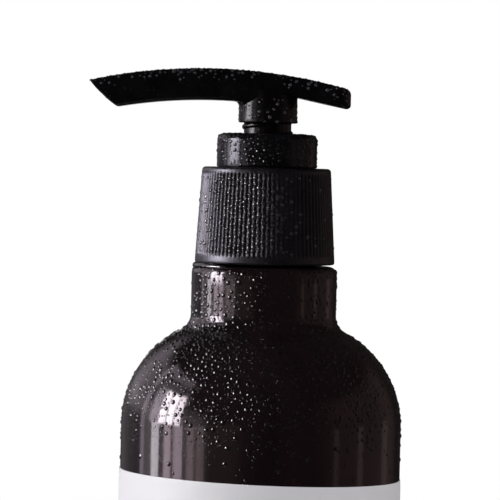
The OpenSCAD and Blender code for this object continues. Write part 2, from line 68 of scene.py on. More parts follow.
# -------- mesh helpers (millimetres in, metres out)
def arc(cx, cz, r, a0, a1, n):
    """n points on an arc round (cx, cz), from a0 to a1 degrees."""
    return [(cx + r * math.cos(math.radians(a)), cz + r * math.sin(math.radians(a)))
            for a in np.linspace(a0, a1, n)]


def revolve(path, segs, closed=False, radius=None):
    """Turns (r, z) points round the axis. radius(i, r, z, angles) may vary the radius round the turn."""
    ang = 2 * np.pi * np.arange(segs) / segs
    verts, faces, rings = [], [], []
    for i, (r, z) in enumerate(path):
        if r < 1e-6:
            rings.append([len(verts)])
            verts.append((0.0, 0.0, z))
            continue
        rr = np.full(segs, float(r)) if radius is None else radius(i, r, z, ang)
        rings.append(list(range(len(verts), len(verts) + segs)))
        verts.extend(zip(rr * np.cos(ang), rr * np.sin(ang), np.full(segs, float(z))))
    for k in range(len(rings) if closed else len(rings) - 1):
        a, b = rings[k], rings[(k + 1) % len(rings)]
        for j in range(segs):
            m = (j + 1) % segs
            if len(a) == 1:
                faces.append((a[0], b[m], b[j]))
            elif len(b) == 1:
                faces.append((a[j], a[m], b[0]))
            else:
                faces.append((a[j], a[m], b[m], b[j]))
    return verts, faces


def tube_faces(count, ring):
    """Faces of a swept mesh of count rings, closed with a face at each end."""
    faces = []
    for k in range(count - 1):
        for j in range(ring):
            m = (j + 1) % ring
            a, b = k * ring, (k + 1) * ring
            faces.append((a + j, a + m, b + m, b + j))
    faces.append(tuple(reversed(range(ring))))
    faces.append(tuple((count - 1) * ring + j for j in range(ring)))
    return faces


def thread(r_wall, r_crest, foot, crest, pitch, z0, turns):
    """A screw ridge: its foot is sunk in the wall, its crest is rounded and its ends run out."""
    sink, per_turn, run_out = 0.15, 72, 25.0
    sunk = r_wall - sink
    steps = int(turns * per_turn)
    section = [(0, -foot / 2), (0.55, -(foot + crest) / 4), (0.9, -crest / 2), (1, -crest / 4),
               (1, crest / 4), (0.9, crest / 2), (0.55, (foot + crest) / 4), (0, foot / 2)]
    verts = []
    for k in range(steps + 1):
        a = 360.0 * turns * k / steps
        grow = min(1.0, a / run_out, (360.0 * turns - a) / run_out)
        grow = 0.08 + 0.92 * math.sin(max(0.0, grow) * math.pi / 2)
        ca, sa = math.cos(math.radians(a)), math.sin(math.radians(a))
        for share, dz in section:
            r = sunk + (r_crest - sunk) * share * grow
            verts.append((r * ca, r * sa, z0 + pitch * a / 360 + dz))
    return verts, tube_faces(steps + 1, len(section))


def new_object(name, shape):
    """A bare object from (vertices, faces)."""
    verts, faces = shape
    mesh = bpy.data.meshes.new(name)
    mesh.from_pydata([tuple(float(c) * MM for c in v) for v in verts], [], faces)
    obj = bpy.data.objects.new(name, mesh)
    SCENE.collection.objects.link(obj)
    return obj


def make(name, shape, mat, smooth=35.0):
    """A finished object from (vertices, faces), its doubled points joined and its faces turned outwards."""
    obj = new_object(name, shape)
    bm = bmesh.new()
    bm.from_mesh(obj.data)
    bmesh.ops.remove_doubles(bm, verts=bm.verts, dist=1e-7)
    bmesh.ops.recalc_face_normals(bm, faces=bm.faces)
    bm.to_mesh(obj.data)
    bm.free()
    finish_mesh(obj, mat, smooth)
    return obj


def finish_mesh(obj, mat, smooth):
    """One material, and smooth shading except at edges sharper than smooth degrees."""
    obj.data.materials.clear()
    obj.data.materials.append(mat)
    for p in obj.data.polygons:
        p.use_smooth = True
        p.material_index = 0
    obj.data.set_sharp_from_angle(angle=math.radians(smooth))


def boolean(obj, tool, how):
    """Joins the tool to the object, or cuts it away, and drops the tool."""
    mod = obj.modifiers.new("cut", "BOOLEAN")
    mod.operation = how
    mod.solver = "EXACT"
    mod.object = tool
    dg = bpy.context.evaluated_depsgraph_get()
    mesh = bpy.data.meshes.new_from_object(obj.evaluated_get(dg))
    obj.modifiers.clear()
    old = obj.data
    obj.data = mesh
    mesh.name = obj.name
    bpy.data.meshes.remove(old)
    bpy.data.objects.remove(tool)


def place(obj, body, slot, *nodes):
    """Lets a piece ride a body, in the place of CAD nodes."""
    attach(obj, body)
    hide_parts(*nodes)


# -------- sizes in mm, shared with the CAD part
BODY_R, BODY_H, SHOULDER_R, FILLET_R = 34.0, 124.6, 25.6, 4.5
NECK_R, NECK_H, NECK_EDGE = 17.65, 11.95, 2.0
WALL, EDGE, FOOT_W, PUSH_UP = 1.2, 4.0, 5.0, 2.0
SHOULDER_CX, FILLET_CX = BODY_R - SHOULDER_R, NECK_R + FILLET_R
FILLET_CZ = BODY_H + math.sqrt((SHOULDER_R + FILLET_R) ** 2 - (FILLET_CX - SHOULDER_CX) ** 2)
NECK_TOP = FILLET_CZ + NECK_H
FINISH_R, FINISH_H, FINISH_WALL, NECK_DECK = 12.7, 18.2, 2, 3.2
FINISH_TOP = NECK_TOP + FINISH_H
THREAD_R, THREAD_FOOT, THREAD_CREST = 13.9, 1.9, 0.9
THREAD_PITCH, THREAD_TURNS, THREAD_DROP = 4.2333, 1.75, 2.2

LABEL_LOW, LABEL_HIGH, LABEL_SKEW = 24.8, 112.8, math.radians(1.4)
LABEL_T, LABEL_GAP, LABEL_CORNER = 0.25, 6.0, 2.5

BORE_R, STEM_R = 7.3, 4.0
FACE_GAP, SLIDE_GAP, TURN_GAP, COLLAR_GAP, THREAD_GAP = 0.05, 0.05, 0.03, 0.15, 0.4
SNAP_R, SNAP_H, BEAD_UP = BORE_R + 1.6, 4.5, 3.3
GASKET_T, FLANGE_T, CLOSURE_DECK, CLOSURE_GAP = 1.2, 1.8, 2.5, 0.5
CLOSURE_Z = NECK_TOP + CLOSURE_GAP
CLOSURE_TOP = FINISH_TOP + GASKET_T + FLANGE_T + FACE_GAP + CLOSURE_DECK
CLOSURE_R, CLOSURE_TAPER, CLOSURE_EDGE = 17.0, 1.4, 0.9
BAND_LOW, BAND_HIGH = CLOSURE_Z + 1.8, CLOSURE_TOP - 1.2  # the ribs lie between these heights
RIBS, RIB_DEPTH = 90, 0.26  # 0.35 deep in the CAD part

CHAPLET_H, CHAPLET_R = 8.1, 12.15
CHAPLET_Z = CLOSURE_TOP + FACE_GAP
CHAPLET_TOP = CHAPLET_Z + CHAPLET_H
SLEEVE_DROP, SLEEVE_WALL, GUIDE_T = 11.0, 0.85, 2.5
SLEEVE_Z = CLOSURE_TOP - SLEEVE_DROP

LOCK_PITCH, LOCK_TURNS, LOCK_DEPTH, LOCK_GAP = 3.0, 1.75, 0.45, 2.65
SHANK_H, LOCK_SOCKET, SKIRT_STEP, SKIRT_FILLET = 6.0, 5.5, 0.9, 1.2  # socket: its depth below the shank
SKIRT_Z = CHAPLET_TOP + LOCK_GAP
HEAD_Z = SKIRT_Z - SHANK_H
SOCKET_R = BORE_R - SLEEVE_WALL
CREST_R = SOCKET_R - 0.25
ROOT_R = CREST_R - LOCK_DEPTH
SKIRT_R = CREST_R + SKIRT_STEP
PASSAGE_R, RISER_R = 1.7, 1.5

BLADE_R, BLADE_T, APEX = 129.6, 7.6, 14.0  # radius of the blade's top, its thickness, its crown's place
CROWN_UP = 12.85  # the crown's height over the skirt's foot
BLADE_CZ = SKIRT_Z + CROWN_UP - BLADE_R
REACH, TAIL = 43.4, 20.0
HALF_W, TIP_NARROWS = 6.7, 2.4
LONG_EDGE, LIP = 1.5, 0.3  # rounding along the blade and round the spout's end
TIP_SLOPE, TAIL_SLOPE = math.radians(39.6), math.radians(11.3)
TAIL_T, TAIL_PLAN, TAIL_SOFT = 4.7, 3.0, 1.15  # thickness at the tail, its rounding in plan and from the side


# -------- material helpers
class Nodes:
    """Short calls for building one material's nodes."""

    def __init__(self, name):
        self.mat = bpy.data.materials.new(name)
        self.mat.use_nodes = True
        self.tree = self.mat.node_tree
        self.bsdf = next(n for n in self.tree.nodes if n.type == "BSDF_PRINCIPLED")
        self.coord = self.tree.nodes.new("ShaderNodeTexCoord")

    def new(self, kind, **values):
        node = self.tree.nodes.new(kind)
        for key, value in values.items():
            setattr(node, key, value)
        return node

    def link(self, a, b):
        self.tree.links.new(a, b)

    def put(self, node, **inputs):
        """Links or sets inputs by name; _ stands for a space where the name has one."""
        for key, value in inputs.items():
            spaced = key.replace("_", " ")
            socket = node.inputs[spaced if spaced in node.inputs else key]
            if hasattr(value, "is_output"):
                self.link(value, socket)
            else:
                socket.default_value = value
        return node

    def where(self, scale=(1, 1, 1)):
        """Object coordinates in millimetres, stretched."""
        node = self.new("ShaderNodeMapping")
        node.inputs["Scale"].default_value = [s / MM for s in scale]
        self.link(self.coord.outputs["Object"], node.inputs["Vector"])
        return node.outputs[0]

    def axes(self):
        """The object coordinates' X, Y and Z in millimetres."""
        node = self.new("ShaderNodeSeparateXYZ")
        self.link(self.where(), node.inputs[0])
        return [node.outputs[k] for k in "XYZ"]

    def noise(self, scale, detail=3.0, rough=0.55, stretch=(1, 1, 1)):
        node = self.new("ShaderNodeTexNoise")
        self.put(node, Vector=self.where(stretch), Scale=scale, Detail=detail, Roughness=rough)
        return node.outputs["Fac"]

    def ramp(self, fac, stops):
        node = self.new("ShaderNodeValToRGB")
        for element, (pos, colour) in zip(node.color_ramp.elements, stops):
            element.position = pos
            element.color = (*colour, 1.0)
        self.link(fac, node.inputs[0])
        return node.outputs[0]

    def math(self, op, a, b=0.5, clamp=False):
        """Operations on one value leave b unused."""
        node = self.new("ShaderNodeMath", operation=op, use_clamp=clamp)
        for i, v in enumerate((a, b)):
            if hasattr(v, "is_output"):
                self.link(v, node.inputs[i])
            else:
                node.inputs[i].default_value = v
        return node.outputs[0]

    def span(self, value, lo, hi, out_lo=0.0, out_hi=1.0, soft=False):
        """Maps lo to hi onto out_lo to out_hi, held at the ends."""
        node = self.new("ShaderNodeMapRange")
        self.put(node, Value=value)
        for key, v in (("From Min", lo), ("From Max", hi), ("To Min", out_lo), ("To Max", out_hi)):
            node.inputs[key].default_value = v
        if soft:
            node.interpolation_type = "SMOOTHSTEP"
        return node.outputs[0]

    def bump(self, height, depth_mm, under=None):
        node = self.new("ShaderNodeBump")
        self.put(node, Height=height, Strength=1.0, Distance=depth_mm * MM)
        if under is not None:
            self.link(under, node.inputs["Normal"])
        return node.outputs[0]

    def end(self, **inputs):
        self.put(self.bsdf, **inputs)
        return self.mat

    def end_with(self, shader):
        """Puts another shader in the place of the first one."""
        out = next(k for k in self.tree.nodes if k.type == "OUTPUT_MATERIAL")
        self.link(shader, out.inputs[0])
        return self.mat

    def end_glowing(self, colour):
        """Lets the surface show its own light alone."""
        glow = self.new("ShaderNodeEmission")
        self.put(glow, Color=colour)
        self.tree.nodes.remove(self.bsdf)
        return self.end_with(glow.outputs[0])


def caps(n, cells, cover, small, large):
    """Height of round caps, 0 to 1, in the cells of a Voronoi pattern, on cover of them."""
    pick = n.new("ShaderNodeSeparateColor")
    n.link(cells.outputs["Color"], pick.inputs[0])
    rad = n.math("MAXIMUM", n.span(pick.outputs[0], 1.0 - cover, 1.0, small, large), 0.0001)
    ratio = n.math("DIVIDE", cells.outputs["Distance"], rad)
    return n.math("SQRT", n.math("SUBTRACT", 1.0, n.math("MULTIPLY", ratio, ratio), clamp=True))


def mist(n, cover):
    """Height of standing droplets too fine for meshes, 0 to 1."""
    size = 0.5
    cells = n.new("ShaderNodeTexVoronoi", feature="F1")
    n.put(cells, Vector=n.where(), Scale=1.0 / size)
    return caps(n, cells, cover, 0.0, 0.42)


def rib_beads(n):
    """Height of small beads strung along the closure's ribs, 0 to 1, and how wet each place is.

    They are thickest towards the front left and keep to the ribbed band.
    """
    cover, pitch, stray = 0.9, 1.15, 0.5
    front_at, front_width = math.radians(13), math.radians(31)
    x, y, z = n.axes()
    azimuth = n.math("ARCTAN2", x, n.math("MULTIPLY", y, -1.0))
    across = n.math("MULTIPLY", azimuth, RIBS / (2 * math.pi))
    on_ribs = n.new("ShaderNodeCombineXYZ")
    n.link(n.math("SUBTRACT", across, stray / 2), on_ribs.inputs["X"])
    n.link(n.math("DIVIDE", z, pitch), on_ribs.inputs["Y"])
    cells = n.new("ShaderNodeTexVoronoi", feature="F1", voronoi_dimensions="2D")
    n.put(cells, Vector=on_ribs.outputs[0], Scale=1.0, Randomness=stray)
    off = n.math("DIVIDE", n.math("ADD", azimuth, front_at), front_width)
    front = n.math("EXPONENT", n.math("MULTIPLY", n.math("MULTIPLY", off, off), -1.0))
    low = n.span(z, CLOSURE_Z + 2.0, CLOSURE_Z + 2.6)
    high = n.span(z, CLOSURE_TOP - 1.8, CLOSURE_TOP - 1.4, 1.0, 0.0)
    soaked = n.math("MULTIPLY", front, n.math("MULTIPLY", low, high))
    return n.math("MULTIPLY", caps(n, cells, cover, 0.22, 0.50), soaked), soaked


# -------- materials
def bottle_material():
    """Glossy near-black plum plastic, a little wavy from blowing, with mist on neck and shoulder."""
    n = Nodes("bottle_plum")
    tint = n.noise(0.09, 2.0, stretch=(1, 1, 0.35))
    colour = n.ramp(tint, [(0.35, (0.0062, 0.0035, 0.0042)), (0.65, (0.0105, 0.0056, 0.0070))])
    rough = n.span(n.noise(0.8), 0.3, 0.7, 0.05, 0.12)
    patch = n.span(n.noise(0.16), 0.36, 0.54)
    above = n.span(n.axes()[2], 116.0, 134.0)
    drops = n.math("MULTIPLY", mist(n, 0.6), n.math("MULTIPLY", patch, above))
    waves = n.bump(n.noise(0.32, 2.0, stretch=(1, 1, 0.03)), 0.02)
    peel = n.bump(n.noise(0.55, 2.0), 0.004, under=waves)
    normal = n.bump(drops, 0.10, under=peel)
    return n.end(Base_Color=colour, Roughness=rough, IOR=1.5, Specular_Tint=(1.0, 0.90, 0.97, 1.0),
                 Normal=normal)


def moulded(name, dark, light, rough_lo, rough_hi):
    """The start of a moulded black plastic: its nodes, colour, roughness and fine grain."""
    n = Nodes(name)
    colour = n.ramp(n.noise(0.22), [(0.35, dark), (0.68, light)])
    rough = n.span(n.noise(0.9, 4.0), 0.3, 0.7, rough_lo, rough_hi)
    grain = n.bump(n.noise(6.0, 3.0, 0.65), 0.008)
    patch = n.span(n.noise(0.3, 2.0), 0.36, 0.5)
    return n, colour, rough, grain, patch


def pump_material():
    """Satin black with mist, and beads on the ribs. The chaplet is smoother, with a weaker shine."""
    n, colour, rough, grain, patch = moulded("pump_black", (0.0030, 0.0028, 0.0034),
                                             (0.0060, 0.0056, 0.0068), 0.35, 0.44)
    shine, chaplet_shine, chaplet_rough, closure_mist = 0.66, 0.26, 0.30, 1.6
    bead_shine, between_beads = 0.75, 0.42
    above = n.span(n.axes()[2], CHAPLET_Z - 0.2, CHAPLET_Z + 0.2)
    rough = n.math("MULTIPLY", rough, n.span(above, 0.0, 1.0, 1.0, chaplet_rough))
    patch = n.math("MULTIPLY", patch, n.span(above, 0.0, 1.0, closure_mist, 1.0))
    beaded, soaked = rib_beads(n)
    normal = n.bump(n.math("MULTIPLY", mist(n, 0.7), patch), 0.12, under=grain)
    normal = n.bump(beaded, 0.32, under=normal)
    on_beads = n.math("MULTIPLY", beaded, bead_shine)
    gloss = n.math("SUBTRACT", on_beads, n.math("MULTIPLY", soaked, between_beads))
    level = n.math("ADD", n.span(above, 0.0, 1.0, shine, chaplet_shine), gloss)
    return n.end(Base_Color=colour, Roughness=rough, IOR=1.5, Specular_IOR_Level=level,
                 Specular_Tint=(0.89, 0.86, 1.0, 1.0), Normal=normal)


def head_material():
    """Smooth black with a weak shine."""
    n, colour, rough, grain, patch = moulded("head_black", (0.0018, 0.0016, 0.0020),
                                             (0.0040, 0.0036, 0.0043), 0.12, 0.20)
    normal = n.bump(n.math("MULTIPLY", mist(n, 0.5), patch), 0.12, under=grain)
    return n.end(Base_Color=colour, Roughness=rough, IOR=1.5, Specular_IOR_Level=0.19, Normal=normal)


def label_material():
    """Pale matt film with faint fibres and clouds."""
    n = Nodes("label_film")
    fibre = n.noise(2.2, 5.0, 0.7)
    cloud = n.noise(0.05, 2.0)
    tone = n.math("ADD", n.math("MULTIPLY", fibre, 0.25), n.math("MULTIPLY", cloud, 0.75))
    colour = n.ramp(tone, [(0.3, (0.868, 0.862, 0.884)), (0.7, (0.900, 0.895, 0.912))])
    rough = n.span(n.noise(1.2), 0.3, 0.7, 0.46, 0.6)
    normal = n.bump(n.noise(4.0, 4.0, 0.7), 0.006)
    return n.end(Base_Color=colour, Roughness=rough, IOR=1.45, Normal=normal)


def plain_material(name, dark, light, rough, metal=0.0, grain=(3.0, 0.004), subsurface=0.0,
                   stretch=(1, 1, 1)):
    """The pump's inner pieces. grain: noise scale and depth in mm."""
    n = Nodes(name)
    colour = n.ramp(n.noise(0.5, stretch=stretch), [(0.35, dark), (0.65, light)])
    roughness = n.span(n.noise(1.6, stretch=stretch), 0.3, 0.7, rough * 0.8, rough * 1.25)
    normal = n.bump(n.noise(grain[0], stretch=stretch), grain[1])
    mat = n.end(Base_Color=colour, Roughness=roughness, Metallic=metal, Normal=normal)
    if subsurface:
        n.put(n.bsdf, Subsurface_Weight=subsurface, Subsurface_Radius=(0.002, 0.002, 0.0018),
              Subsurface_Scale=0.5)
    return mat


def water_material(name, dark, light, rough_lo, rough_hi, clear):
    """Standing drops, partly clear, with a hard shine. Their body colour is painted: a dark one stands in for
    the plastic seen through them and dims the light that passes through; a paler one stands in for light they
    gather.
    """
    n = Nodes(name)
    body = n.ramp(n.noise(0.8, 2.0), [(0.35, dark), (0.65, light)])
    rough = n.span(n.noise(2.0, 2.0), 0.3, 0.7, rough_lo, rough_hi)
    return n.end(Base_Color=body, Roughness=rough, IOR=1.5, Specular_IOR_Level=1.0, Transmission_Weight=clear)


# -------- bottle, label, closure and chaplet
def bottle_shape():
    """The hollow bottle from its push-up base to its neck finish, outside and then inside."""
    join = math.degrees(math.atan2(FILLET_CZ - BODY_H, FILLET_CX - SHOULDER_CX))
    chord = BODY_R - EDGE - FOOT_W
    dome_r = (chord ** 2 + PUSH_UP ** 2) / (2 * PUSH_UP)
    rim, mouth, root, deck = 0.4, 0.3, 0.6, 1.0  # small radii round the neck finish

    def dome(r, extra):
        return PUSH_UP - dome_r + math.sqrt((dome_r + extra) ** 2 - r * r)

    path = [(r, dome(r, 0)) for r in np.linspace(0, chord, 10)]
    path += arc(BODY_R - EDGE, EDGE, EDGE, -90, 0, 12)
    path += [(BODY_R, z) for z in np.linspace(10, BODY_H - 4, 14)]
    path += arc(SHOULDER_CX, BODY_H, SHOULDER_R, 0, join, 34)
    path += arc(FILLET_CX, FILLET_CZ, FILLET_R, 180 + join, 180, 14)[1:]
    path += [(NECK_R, FILLET_CZ + 3), (NECK_R, FILLET_CZ + 6.5)]
    path += arc(NECK_R - NECK_EDGE, NECK_TOP - NECK_EDGE, NECK_EDGE, 0, 90, 10)
    path += arc(FINISH_R + rim, NECK_TOP + rim, rim, 270, 180, 5)
    path += arc(FINISH_R - rim, FINISH_TOP - rim, rim, 0, 90, 6)
    path += arc(FINISH_R - FINISH_WALL + mouth, FINISH_TOP - mouth, mouth, 90, 180, 5)
    path += arc(FINISH_R - FINISH_WALL + root, NECK_TOP - NECK_DECK + root, root, 180, 270, 5)
    path += arc(NECK_R - WALL - deck, NECK_TOP - NECK_DECK - deck, deck, 90, 0, 6)
    path += arc(FILLET_CX, FILLET_CZ, FILLET_R + WALL, 180, 180 + join, 10)
    path += arc(SHOULDER_CX, BODY_H, SHOULDER_R - WALL, join, 0, 20)[1:]
    path += arc(BODY_R - EDGE, EDGE, EDGE - WALL, 0, -90, 8)
    path += [(r, dome(r, WALL)) for r in np.linspace(chord - 0.4, 0, 8)]
    return revolve(path, 224)


def build_bottle(mat):
    smooth = 40
    bottle = make("bottle_body", bottle_shape(), mat, smooth)
    start = FINISH_TOP - THREAD_DROP - THREAD_TURNS * THREAD_PITCH
    ridge = thread(FINISH_R, THREAD_R, THREAD_FOOT, THREAD_CREST, THREAD_PITCH, start, THREAD_TURNS)
    boolean(bottle, make("finish_thread", ridge, mat), "UNION")
    finish_mesh(bottle, mat, smooth)
    return bottle


def label_shape():
    """A film wrapped round the body, stuck on a little out of square, with rounded corners at its ends."""
    cols, rows = 260, 46
    mid, half_gap = (LABEL_LOW + LABEL_HIGH) / 2, math.asin(LABEL_GAP / 2 / BODY_R)
    start, stop = math.pi / 2 + half_gap, 2.5 * math.pi - half_gap
    edge = 0.3  # share of the thickness that the upper and lower edges give up
    verts, faces = [], []
    for side in (0, 1):
        for i in range(cols + 1):
            a = start + (stop - start) * i / cols
            into = max(0.0, LABEL_CORNER - min(a - start, stop - a) * BODY_R)
            cut = LABEL_CORNER - math.sqrt(max(0.0, LABEL_CORNER ** 2 - into ** 2))
            half = (LABEL_HIGH - LABEL_LOW) / 2 - cut
            for j in range(rows + 1):
                z = mid + (2 * (j / rows) - 1) * half / math.cos(LABEL_SKEW)
                r = BODY_R + LABEL_T * side
                if side and j in (0, rows):
                    r -= LABEL_T * edge
                x = r * math.cos(a)
                verts.append((x, r * math.sin(a), z - math.tan(LABEL_SKEW) * x))

    def at(s, i, j):
        return s * (cols + 1) * (rows + 1) + i * (rows + 1) + j

    for i in range(cols):
        for j in range(rows):
            faces.append((at(1, i, j), at(1, i + 1, j), at(1, i + 1, j + 1), at(1, i, j + 1)))
            faces.append((at(0, i, j), at(0, i, j + 1), at(0, i + 1, j + 1), at(0, i + 1, j)))
        for j in (0, rows):
            faces.append((at(0, i, j), at(0, i + 1, j), at(1, i + 1, j), at(1, i, j)))
    for j in range(rows):
        for i in (0, cols):
            faces.append((at(0, i, j), at(1, i, j), at(1, i, j + 1), at(0, i, j + 1)))
    return verts, faces


def closure_r(z):
    return CLOSURE_R - CLOSURE_TAPER * (z - CLOSURE_Z) / (CLOSURE_TOP - CLOSURE_Z)


def closure_shape():
    """Screw closure with rounded grip ribs that run out into a plain band below and a plain rim above."""
    bore, hole = THREAD_R + THREAD_GAP, SNAP_R + COLLAR_GAP
    fine, near = 0.12, 1.2  # the rings are fine near the ribs' ends
    run_out, roundness = 0.7, 0.62
    outer = arc(closure_r(CLOSURE_Z) - 0.55, CLOSURE_Z + 0.5, 0.5, -90, 0, 7)
    heights = [*np.linspace(CLOSURE_Z + 1.0, BAND_LOW, 3), *(BAND_LOW + fine * np.arange(1, 7)),
               *np.linspace(BAND_LOW + near, BAND_HIGH - near, 22),
               *(BAND_HIGH - fine * np.arange(6, -1, -1))]
    outer += [(closure_r(z), z) for z in heights]
    outer += arc(closure_r(CLOSURE_TOP) - 0.85, CLOSURE_TOP - CLOSURE_EDGE, CLOSURE_EDGE, 0, 90, 8)
    deck = CLOSURE_TOP - CLOSURE_DECK
    inner = [(hole + 0.3, CLOSURE_TOP), (hole, CLOSURE_TOP - 0.3), (hole, deck),
             (bore - 0.4, deck), (bore, deck - 0.4), (bore, CLOSURE_Z + 0.5), (bore + 0.4, CLOSURE_Z)]

    def radius(i, r, z, ang):
        if i >= len(outer) or not BAND_LOW < z < BAND_HIGH:
            return np.full(len(ang), r)
        fade = min(1.0, (z - BAND_LOW) / run_out, (BAND_HIGH - z) / run_out)
        fade = math.sin(fade * math.pi / 2)
        wave = 0.5 + 0.5 * np.cos(ang * RIBS)
        groove = 1 - wave ** roundness
        return r - RIB_DEPTH * fade * groove

    return revolve(outer + inner, RIBS * 10, closed=True, radius=radius)


def chaplet_shape():
    """Locking collar: its wall, the socket for the head's thread, and the sleeve that guides the stem."""
    socket_z, guide_z = HEAD_Z - 0.3 - LOCK_SOCKET, SLEEVE_Z + GUIDE_T
    guide_r, well_r, wall_z = STEM_R + SLIDE_GAP, ROOT_R + 0.25, CHAPLET_Z + SNAP_H
    foot, edge, mouth, ease, tip, bead = 0.25, 1.5, 0.5, 0.3, 0.2, 0.45  # small radii and bevels
    path = arc(CHAPLET_R - foot, CHAPLET_Z + foot, foot, -90, 0, 4)
    path += [(CHAPLET_R, z) for z in np.linspace(CHAPLET_Z + 1, CHAPLET_TOP - 1.9, 5)]
    path += arc(CHAPLET_R - edge, CHAPLET_TOP - edge, edge, 0, 90, 12)
    path += [(SOCKET_R + mouth, CHAPLET_TOP), (SOCKET_R, CHAPLET_TOP - mouth), (SOCKET_R, socket_z),
             (well_r, socket_z), (well_r, guide_z), (guide_r + ease, guide_z), (guide_r, guide_z - ease),
             (guide_r, SLEEVE_Z + ease), (guide_r + ease, SLEEVE_Z), (BORE_R - tip, SLEEVE_Z),
             (BORE_R, SLEEVE_Z + tip), (BORE_R, wall_z), (SNAP_R, wall_z)]
    path += arc(SNAP_R, CHAPLET_Z + BEAD_UP, bead, 90, -90, 8)
    path += [(SNAP_R, CHAPLET_Z)]
    return revolve(path, 160, closed=True)


# -------- pump head
def on_arc(r, x):
    """Height of the blade's arc of radius r at x."""
    return BLADE_CZ + math.sqrt(r * r - (x + APEX) ** 2)


def blade_shape():
    """The blade, lofted from the slanted spout end to the tail: rounded sections, soft ends."""
    low_r, tip_drop, blend, crown = BLADE_R - BLADE_T, 0.5, 12.0, 0.4
    tip_z, tail_z = on_arc(BLADE_R, -REACH) - tip_drop, on_arc(BLADE_R, TAIL) - TAIL_T

    def end_x(r):
        """Where the spout's end plane meets the arc of radius r."""
        x = -REACH
        for _ in range(30):
            x = -REACH + (tip_z - on_arc(r, x)) / math.tan(TIP_SLOPE)
        return x

    def low(x):
        """The underside: an arc under the spout that blends into a straight line under the tail."""
        f = min(1.0, max(0.0, (x + blend / 2) / blend))
        f = f * f * (3 - 2 * f)
        return on_arc(low_r, x) * (1 - f) + (tail_z + (TAIL - x) * math.tan(TAIL_SLOPE)) * f

    def half_w(x):
        if x < -SKIRT_R:
            return HALF_W - TIP_NARROWS * ((-SKIRT_R - x) / (REACH - SKIRT_R))
        if x > TAIL - TAIL_PLAN:
            into = x - TAIL + TAIL_PLAN
            return HALF_W - TAIL_PLAN + math.sqrt(max(0.0, TAIL_PLAN ** 2 - into ** 2))
        return HALF_W

    def section(xt, xb, inset, push=0.0, scale=1.0):
        """One ring through (xt, top) and (xb, bottom); inset shrinks it, push moves it out along x."""
        top, bot = Vector((xt, 0, on_arc(BLADE_R, xt))), Vector((xb, 0, low(xb)))
        up = top - bot
        length = up.length
        up = up / length
        out = Vector((-up.z, 0, up.x))
        w = half_w((xt + xb) / 2)
        e = max(0.25, LONG_EDGE - inset)
        corner, step = 7, 15  # points on a corner and the degrees between them
        pts = []
        for cy, cz, a0 in ((1, 1, 0), (-1, 1, 90), (-1, -1, 180), (1, -1, 270)):
            for k in range(corner):
                a = math.radians(a0 + step * k)
                y = cy * (w - inset - e) + e * math.cos(a)
                u = cz * (length / 2 - inset - e) + e * math.sin(a)
                pts.append((bot + up * ((u / length + 0.5) * length), y))
        ring = []
        for i, (base, y) in enumerate(pts):
            ring.append((base, y))
            if i % corner == corner - 1:
                next_base, next_y = pts[(i + 1) % len(pts)]
                ring += [(base.lerp(next_base, f), y + (next_y - y) * f) for f in (0.25, 0.5, 0.75)]
        mid = bot.lerp(top, 0.5)
        moved = [(mid + (base - mid) * scale + out * push, y * scale) for base, y in ring]
        return [(p.x, y, p.z) for p, y in moved]

    # the spout's end: a shallow crowned face with a soft edge
    xt, xb = -REACH + 0.12, end_x(low_r) + 0.02
    rings = [section(xt, xb, LIP, crown * (1 - s * s) + 0.1, s) for s in (0.25, 0.55, 0.8)]
    for a, push in ((0, 0.1), (30, 0.05), (60, 0.0)):
        back = LIP * (1 - math.cos(math.radians(a)))
        rings.append(section(xt + back, xb + back, LIP * (1 - math.sin(math.radians(a))), push))
    # the slant runs out towards the skirt
    xt, xb, join = xt + LIP, xb + LIP, -8.0
    rings += [section(xt + (join - xt) * f, xb + (join - xb) * f, 0.0) for f in np.linspace(0, 1, 52)]
    rings += [section(x, x, 0.0) for x in np.linspace(-6.5, TAIL - TAIL_PLAN, 28)]
    # the tail: rounded in plan and from the side
    for a in np.linspace(6, 88, 16):
        x = TAIL - TAIL_PLAN + TAIL_PLAN * math.sin(math.radians(a))
        into = max(0.0, x - (TAIL - TAIL_SOFT))
        rings.append(section(x, x, TAIL_SOFT - math.sqrt(max(0.0, TAIL_SOFT ** 2 - into ** 2))))
    rings.append(section(TAIL - 0.001, TAIL - 0.001, TAIL_SOFT, 0.0, 0.6))
    return [p for ring in rings for p in ring], tube_faces(len(rings), len(rings[0]))


def skirt_shape():
    """Threaded shank and skirt, up to the middle of the blade, as one turned shape."""
    top = on_arc(BLADE_R - BLADE_T / 2, 0)
    tip, root, foot, edge = 0.3, 0.25, 0.35, 0.5  # small radii
    path = [(0, HEAD_Z)]
    path += arc(ROOT_R - tip, HEAD_Z + tip, tip, -90, 0, 4)
    path += arc(ROOT_R + root, SKIRT_Z - root, root, 180, 90, 4)
    path += arc(SKIRT_R - foot, SKIRT_Z + foot, foot, -90, 0, 6)
    path += [(SKIRT_R, z) for z in np.linspace(SKIRT_Z + 1, top - 0.6, 8)]
    path += arc(SKIRT_R - edge, top - edge, edge, 0, 90, 6)
    path += [(0, top)]
    return revolve(path, 144)


def fillet_shape():
    """Hollow curve between the skirt and the underside of the spout."""
    f, sunk = SKIRT_FILLET, SKIRT_R - 1.0
    cols, fading, start, sweep = 36, 9, 128, 104  # columns, those that fade at each end; degrees from +X
    under = on_arc(BLADE_R - BLADE_T, -SKIRT_R)
    prof = [(sunk, under + 0.6), (sunk, under - f)]
    prof += [(SKIRT_R + f - f * math.cos(math.radians(a)), under - f + f * math.sin(math.radians(a)))
             for a in range(0, 91, 10)]
    prof += [(SKIRT_R + f, under + 0.6)]
    verts = []
    for i in range(cols + 1):
        a = math.radians(start + sweep * i / cols)
        fade = math.sin(math.pi * min(1.0, min(i, cols - i) / fading) / 2)
        for r, z in prof:
            rr = sunk + (r - SKIRT_R + 1.0) * (0.55 + 0.45 * fade)
            verts.append((rr * math.cos(a), rr * math.sin(a), z))
    return verts, tube_faces(cols + 1, len(prof))


